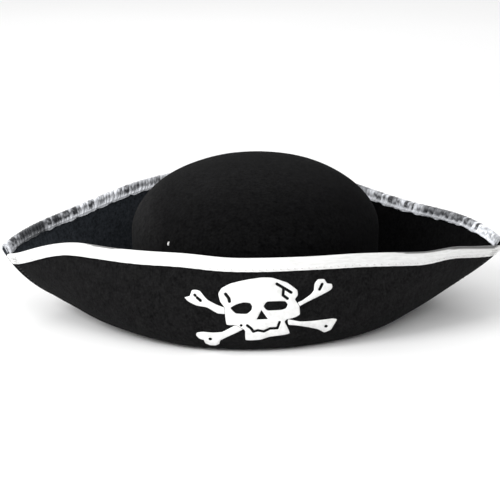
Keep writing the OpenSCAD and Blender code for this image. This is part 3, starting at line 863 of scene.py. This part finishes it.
def make_label():
    """A woven strip: a loop round the thread at its top, two plies below, a cut end."""
    pivot, along, out = label_frame()
    turn = np.linspace(-0.5 * math.pi, 1.35 * math.pi, 22)
    loop = np.stack([HEM_R * np.cos(turn), HEM_R * np.sin(turn)], -1)
    drop = np.linspace(0.4, LABEL_L, 30)
    sway = 0.35 * np.sin(drop / LABEL_L * 2.6)
    tail = np.stack([0.25 * LABEL_T + sway, -drop], -1)
    short = np.linspace(5.0, 1.2, 8)
    tuck = np.stack([-0.35 * LABEL_T + 0.35 * np.sin(short / LABEL_L * 2.6) - 0.2, -short], -1)
    line = np.concatenate([tuck, loop[::-1], tail])
    tangent = unit(np.gradient(line, axis=0))
    normal = np.stack([-tangent[:, 1], tangent[:, 0]], -1)
    width = np.linspace(-LABEL_W / 2, LABEL_W / 2, 15)
    curl = 0.3 * (np.abs(width) / (LABEL_W / 2)) ** 3

    def place(offset):
        flat = line[:, None] + normal[:, None] * offset
        lean = curl * smoothstep((-flat[..., 1] - 8) / 20)
        return (pivot + out * (flat[..., 0] + lean)[..., None]
                + np.array([0, 0, 1.0]) * flat[..., 1][..., None] + along * width[:, None])

    half_ply = 0.11
    face, back = place(half_ply), place(-half_ply)
    rings = np.concatenate([face, back[:, ::-1]], axis=1)
    run = lengths_along(face)[:, 0]
    across = np.concatenate([width, width[::-1]])
    uv = np.stack([np.broadcast_to(across, rings.shape[:2]),
                   np.broadcast_to(run[:, None], rings.shape[:2])], -1)
    piece = new_piece("label_cloth", rings.reshape(-1, 3), skin(rings), "label",
                      uv.reshape(-1, 2))
    dress(piece, "white_label", "care_label")


def make_label_tack():
    """The thread bar in the label's hem, its legs, and the stitch outside the crown."""
    pivot, along, out = label_frame()
    reach, leg = LABEL_W / 2 + 2, 2.2
    s = np.linspace(-1, 1, 25)
    bar = pivot + along * (s * reach)[:, None]
    ends = smoothstep((np.abs(s) - 0.86) / 0.14)
    bar = bar + out * (leg * ends)[:, None]
    piece = thread_piece("label_bar", bar[None], np.broadcast_to([0, 0, 1.0], (1, 25, 3)),
                         diameter=PIVOT_D, sides=12)
    dress(piece, "white_thread", "label_tack")
    rise = math.asin((LABEL_TOP + KNOT_UP - WALL_H) / (CROWN_H - WALL_H))
    level = 1 + rise / (math.pi / 2)
    half = KNOT_L / 2 / ((CROWN_H - WALL_H) * math.cos(rise) * math.pi / 2)
    s, arch = arched(9)
    paths, normals = [], []
    for shift in (-0.3, 0.3):
        v = level + half * (2 * s - 1)
        a = -LABEL_ANGLE + (KNOT_ALONG + shift + 0.2 * (s - 0.5)) / CROWN_A
        paths.append(on_crown(a, v) + oval_out(a) * (0.75 * arch - 0.2)[:, None])
        normals.append(oval_out(a))
    knot = thread_piece("label_knot", np.array(paths), np.array(normals), diameter=0.75)
    dress(knot, "white_thread", "label_tack")


# ---- Print -------------------------------------------------------------------------

# Points of the print are (x, z) in millimetres, as the front flap is seen from the front.
SKULL_CLEAR = 0.3          # between the skull and the bones behind it
FILM_RIM, FILM_FACE, FILM_SINK = 0.20, 0.36, 0.1   # the film above the felt, and into it
FILM_MESH = 1.4            # between the points that fill the film
SKULL = [(-22.5, 45.5), (-17, 48.5), (-10.5, 50.3), (-4, 51.6), (4, 52.6), (11, 52.2),
         (21, 48.3), (27.3, 43), (27.8, 39.5), (26, 36.5), (28.7, 32), (29, 26), (25, 24),
         (20.3, 23.2), (19, 21.3), (22, 13), (9, 11.5), (2.5, 9.6), (-7, 9.6), (-7.6, 16.5),
         (-13.5, 20), (-19.5, 20.5), (-20.5, 26.5), (-20.7, 32), (-23.5, 36), (-24.8, 41.5)]
LEFT_EYE = [(-16.9, 32), (-13.3, 34.4), (-8.4, 35.9), (-4, 35.5), (-2.6, 33.1), (-3.2, 30.4),
            (-6.2, 28.1), (-13.3, 28.3)]
RIGHT_EYE = [(5.1, 33), (7.7, 36.2), (18.9, 35.9), (21, 33.5), (19.9, 30.9), (16.8, 30),
             (7.7, 30.1)]
NOSE = [(3.5, 30.6), (7.9, 24.1), (0.2, 24.1)]
MOUTH = [(-6, 20), (-3.5, 18), (-2, 15.6), (1, 16.4), (5, 15.5), (9, 17.4), (14, 17.4),
         (15.5, 21.5)]
TOOTH_GAP = (-10, 20)
CRACK = [(14, 48), (18.5, 45), (23.5, 41.5)]
CRACK_BRANCH = [(18.5, 45), (18, 40), (21, 37.5)]
TEMPLE_DENT = [(-20, 41.5), (-17.8, 38.5), (-17.5, 36.5)]
MOUTH_R, CRACK_R, DENT_R, MARK_R = 0.95, 1.0, 1.1, 1.05
# For each bone its outline, and the marks drawn in it.
BONES = {
    "upper_left_bone": (
        [(-42.5, 43), (-40, 43.6), (-37, 42.8), (-32.5, 37.5), (-26, 34), (-18, 31), (-18, 28),
         (-25.5, 28.2), (-32.5, 32), (-39.5, 33), (-45, 35.5), (-47.3, 38), (-44, 39.2)],
        [[(-40.5, 40), (-40.3, 39.8)], [(-39, 38.3), (-36.8, 36.5)]]),
    "upper_right_bone": (
        [(26, 33.3), (31.5, 35.9), (36.5, 39.3), (38.6, 42), (39.2, 46.5), (41.5, 49.2),
         (45.5, 49), (47.5, 46), (50.5, 45.2), (51, 43), (49.5, 41), (41.5, 37.4), (33.5, 34),
         (26, 30.4)],
        [[(42.5, 42.3), (44.2, 45.7)]]),
    "lower_left_bone": (
        [(-7, 19), (-11, 16), (-20.5, 11), (-24, 8.8), (-25, 6), (-27.3, 4.6), (-31, 4.6),
         (-34, 6), (-35.2, 8.5), (-38, 9.6), (-40.2, 12), (-39.5, 14), (-35.5, 14.7),
         (-29, 14.4), (-23, 15), (-17.5, 18), (-12, 21)],
        [[(-31, 9.6), (-30.6, 9.6)]]),
    "lower_right_bone": (
        [(21.4, 23), (29, 21), (37, 20.6), (51, 20.7), (54, 19.6), (52, 16), (50, 12.6),
         (45.5, 11.2), (41.5, 14), (34.5, 16.5), (27, 18.4), (21.6, 19.4)],
        [[(46.5, 15.7), (46.9, 15.5)]]),
}


def smooth_outline(points, steps=6, pull=0.25):
    """A closed curve through the points, drawn tight so that it keeps their corners."""
    b = np.asarray(points, float)
    a, c, d = np.roll(b, 1, axis=0), np.roll(b, -1, axis=0), np.roll(b, -2, axis=0)
    leave, arrive = pull * (c - a), pull * (d - b)
    t = np.linspace(0, 1, steps, endpoint=False)[:, None, None]
    curve = (b + leave * t + (3 * (c - b) - 2 * leave - arrive) * t ** 2
             + (2 * (b - c) + leave + arrive) * t ** 3)
    return np.swapaxes(curve, 0, 1).reshape(-1, 2)


def grown(outline, d):
    """A closed outline, given clockwise, moved outwards by d."""
    along = unit(np.roll(outline, -1, axis=0) - np.roll(outline, 1, axis=0))
    return outline + d * np.stack([-along[:, 1], along[:, 0]], -1)


def circle(centre, r, sides=20):
    turn = np.linspace(0, 2 * math.pi, sides, endpoint=False)
    return np.stack([centre[0] + r * np.cos(turn), centre[1] + r * np.sin(turn)], -1)


def hull(*outlines):
    """The convex outline round some outlines."""
    points = sorted(map(tuple, np.concatenate(outlines).round(6)))

    def chain(items):
        line = []
        for p in items:
            while len(line) > 1 and ((line[-1][0] - line[-2][0]) * (p[1] - line[-2][1])
                                     - (line[-1][1] - line[-2][1]) * (p[0] - line[-2][0])) <= 0:
                line.pop()
            line.append(p)
        return line

    return np.array(chain(points)[:-1] + chain(points[::-1])[:-1])


def pen_line(points, r):
    return [hull(circle(a, r, 12), circle(b, r, 12)) for a, b in zip(points, points[1:])]


def skull_holes():
    holes = [smooth_outline(LEFT_EYE), smooth_outline(RIGHT_EYE), np.array(NOSE),
             circle(TOOTH_GAP, MOUTH_R)]
    for line, r in ((MOUTH, MOUTH_R), (CRACK, CRACK_R), (CRACK_BRANCH, CRACK_R),
                    (TEMPLE_DENT, DENT_R)):
        holes += pen_line(line, r)
    return holes


def inside(points, outline):
    """Which of the points lie inside a closed outline."""
    x, y = points[:, 0][:, None], points[:, 1][:, None]
    a, b = outline, np.roll(outline, -1, axis=0)
    crosses = (a[:, 1] > y) != (b[:, 1] > y)
    rise = np.where(b[:, 1] == a[:, 1], 1e-12, b[:, 1] - a[:, 1])
    left = x < (b[:, 0] - a[:, 0]) * (y - a[:, 1]) / rise + a[:, 0]
    return (crosses & left).sum(axis=1) % 2 == 1


def film_piece(name, edge, holes, node, tree):
    """A thin film over the front flap, inside the edge and outside the holes."""
    outlines = [edge] + holes
    cloud = np.concatenate(outlines)
    low, high = cloud.min(axis=0), cloud.max(axis=0)
    xs = np.arange(low[0], high[0], FILM_MESH)
    zs = np.arange(low[1], high[1], FILM_MESH)
    filler = np.stack(np.meshgrid(xs, zs), -1).reshape(-1, 2)
    points = np.concatenate([cloud, filler])
    edges, first = [], 0
    for o in outlines:
        edges += [(first + i, first + (i + 1) % len(o)) for i in range(len(o))]
        first += len(o)
    made = delaunay_2d_cdt([Vector(p) for p in points], edges, [], 0, 1e-5)
    flat = np.array([tuple(p) for p in made[0]])
    tris = np.array([list(f) for f in made[2]])
    middle = flat[tris].mean(axis=1)
    keep = inside(middle, edge) & ~np.any([inside(middle, o) for o in holes], axis=0)
    tris = tris[keep]
    used = np.unique(tris)
    number = {int(v): i for i, v in enumerate(used)}
    tris = [[number[int(v)] for v in t] for t in tris]
    flat = flat[used]
    count = {}
    for t in tris:
        for a, b in zip(t, t[1:] + t[:1]):
            count[(a, b)] = count.get((a, b), 0) + 1
    rim = [(a, b) for a, b in count if (b, a) not in count]
    on_rim = {v for e in rim for v in e}
    ahead = -200               # in front of the hat, where the rays start
    top, sunk = [], []
    for i, (x, z) in enumerate(flat):
        hit, normal, _, _ = tree.ray_cast(Vector((x, ahead, z)) * MM, Vector((0, 1, 0)))
        p, n = np.array(hit) / MM, np.array(normal)
        n = n if n[1] < 0 else -n
        top.append(p + n * (FILM_RIM if i in on_rim else FILM_FACE))
        sunk.append(p - n * FILM_SINK)
    total = len(flat)
    area = sum((flat[t[1]][0] - flat[t[0]][0]) * (flat[t[2]][1] - flat[t[0]][1])
               - (flat[t[1]][1] - flat[t[0]][1]) * (flat[t[2]][0] - flat[t[0]][0]) for t in tris)
    outward = area > 0
    faces = [t if outward else t[::-1] for t in tris]
    for a, b in rim:
        faces.append([b, a, a + total, b + total] if outward else [a, b, b + total, a + total])
    piece = new_piece(name, np.array(top + sunk), faces, smooth_angle=80)
    return dress(piece, "white_print", node)


def make_prints(flap):
    mesh = flap.data
    tree = BVHTree.FromPolygons([v.co for v in mesh.vertices],
                                [list(p.vertices) for p in mesh.polygons])
    skull = smooth_outline(SKULL)
    film_piece("skull_film", skull, skull_holes(), "skull_print", tree)
    for name, (edge, marks) in BONES.items():
        holes = [grown(skull, SKULL_CLEAR)] + [h for m in marks for h in pen_line(m, MARK_R)]
        film_piece(name + "_film", smooth_outline(edge), holes, name + "_print", tree)


# ---- Floor and light ---------------------------------------------------------------


WALL_LIGHT_FROM = (-0.80, -0.40, 0.45)     # the studio's light side
WALL_LIGHT = (0.0, 1.3)                    # away from it and towards it


def make_stage():
    mesh = bpy.data.meshes.new("floor")
    half, under = 20, 0.0005   # the floor's half width, and how far it lies under the hat
    mesh.from_pydata([(-half, -half, 0), (half, -half, 0), (half, half, 0), (-half, half, 0)],
                     [], [(0, 1, 2, 3)])
    floor = bpy.data.objects.new("floor", mesh)
    bpy.context.collection.objects.link(floor)
    floor.location.z = -under
    m = Nodes("floor", Roughness=0.9)
    m.colour(m.ramp(m.noise(m.coords(), 3, 2), (0.9, 0.9, 0.9), (0.93, 0.93, 0.93)))
    mesh.materials.append(m.material)
    world = bpy.data.worlds.new("world")
    bpy.context.scene.world = world
    world.use_nodes = True
    tree = world.node_tree
    coord = tree.nodes.new("ShaderNodeTexCoord")
    along = tree.nodes.new("ShaderNodeVectorMath")
    along.operation = "DOT_PRODUCT"
    along.inputs[1].default_value = WALL_LIGHT_FROM
    level = tree.nodes.new("ShaderNodeMapRange")
    level.inputs["From Min"].default_value = -1.0
    level.inputs["To Min"].default_value, level.inputs["To Max"].default_value = WALL_LIGHT
    tree.links.new(coord.outputs["Generated"], along.inputs[0])
    tree.links.new(along.outputs["Value"], level.inputs["Value"])
    tree.links.new(level.outputs["Result"], tree.nodes["Background"].inputs["Strength"])
    tree.nodes["Background"].inputs["Color"].default_value = (1, 1, 1, 1)


def area_light(name, place, energy, size):
    data = bpy.data.lights.new(name, "AREA")
    data.energy, data.size = energy, size
    light = bpy.data.objects.new(name, data)
    bpy.context.collection.objects.link(light)
    light.location = place
    light.rotation_mode = "QUATERNION"
    light.rotation_quaternion = (Vector((0, 0, 0.05)) - Vector(place)).to_track_quat("-Z", "Y")


def make_lights():
    area_light("key", (-1.1, -0.7, 0.9), 13, 0.6)
    area_light("fill", (0.6, -1.3, 0.9), 7, 1.0)
    area_light("rim", (-0.3, 1.4, 1.2), 5, 0.8)
    bpy.context.scene.view_settings.view_transform = "Standard"


# ---- The hat -----------------------------------------------------------------------

make_crown()
front_flap = make_flap("front_flap_felt", FRONT, "front_flap")
make_flap("back_flap_felt", BACK, "back_flap")
make_ribbons()
make_ribbon_stitches("front_ribbon_thread", FRONT, "front_ribbon_stitches")
make_ribbon_stitches("back_ribbon_thread", BACK, "back_ribbon_stitches")
make_tip_tacks("left_tip_thread", HALF_TURN, "left_tip_tack")
make_tip_tacks("right_tip_thread", 0.0, "right_tip_tack")
make_headline_seam()
make_side_seam("left_seam_thread", HALF_TURN, "left_side_seam")
make_side_seam("right_seam_thread", 0.0, "right_side_seam")
make_sweatband()
make_sweatband_stitches()
make_label()
make_label_tack()
make_prints(front_flap)
make_stage()
make_lights()
